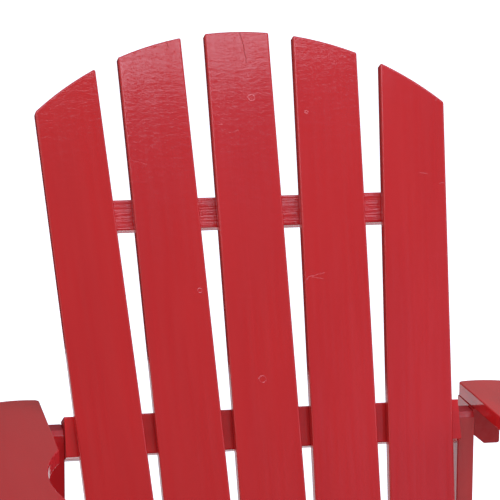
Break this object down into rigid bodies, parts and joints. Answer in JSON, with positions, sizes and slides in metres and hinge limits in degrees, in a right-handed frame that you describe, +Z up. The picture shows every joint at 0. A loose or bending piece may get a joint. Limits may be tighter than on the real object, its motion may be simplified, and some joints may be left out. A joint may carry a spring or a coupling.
{
  "type": "adirondack chair",
  "caption": "Painted wooden garden armchair with a sloping slatted seat, a fanned reclined slat back with an arched top, and wide flat arms.",
  "frame": {"origin": "on the ground, under the centre of the chair's overall length and width", "axes": "+Z up; -Y is the way the sitter faces; +X to the right of someone who looks at the chair from the front"},
  "size_m": [0.796, 0.88, 1.0262],
  "materials": {
    "painted_wood": "semi-gloss red exterior paint, brushed along the grain",
    "painted_screws": "countersunk screw heads under the same red paint",
    "zinc_steel": "zinc-plated carriage bolts, washers and nuts"
  },
  "bodies": {
    "root": {"apron_screws": "painted_screws", "arm_front_screws": "painted_screws", "arm_left": "painted_wood", "arm_level_brace": "painted_wood", "arm_rear_screws": "painted_screws", "arm_right": "painted_wood", "back_slat_1": "painted_wood", "back_slat_2": "painted_wood", "back_slat_3": "painted_wood", "back_slat_4": "painted_wood", "back_slat_5": "painted_wood", "block_screws": "painted_screws", "bolt_nuts": "zinc_steel", "bolt_washers": "zinc_steel", "brace_cleat_left": "painted_wood", "brace_cleat_right": "painted_wood", "brace_screws": "painted_screws", "bracket_screws": "painted_screws", "cleat_end_screws": "painted_screws", "cleat_screws": "painted_screws", "front_apron": "painted_wood", "front_arm_bracket_left": "painted_wood", "front_arm_bracket_right": "painted_wood", "front_leg_left": "painted_wood", "front_leg_right": "painted_wood", "leg_bolts": "zinc_steel", "lower_back_batten": "painted_wood", "lower_batten_screws": "painted_screws", "post_bolts": "zinc_steel", "rail_end_screws": "painted_screws", "rear_arm_block_left": "painted_wood", "rear_arm_block_right": "painted_wood", "rear_post_left": "painted_wood", "rear_post_right": "painted_wood", "rear_stretcher": "painted_wood", "seat_screws": "painted_screws", "seat_slat_1": "painted_wood", "seat_slat_2": "painted_wood", "seat_slat_3": "painted_wood", "seat_slat_4": "painted_wood", "seat_slat_5": "painted_wood", "stringer_left": "painted_wood", "stringer_right": "painted_wood", "upper_back_batten": "painted_wood", "upper_batten_screws": "painted_screws"}
  },
  "joints": []
}
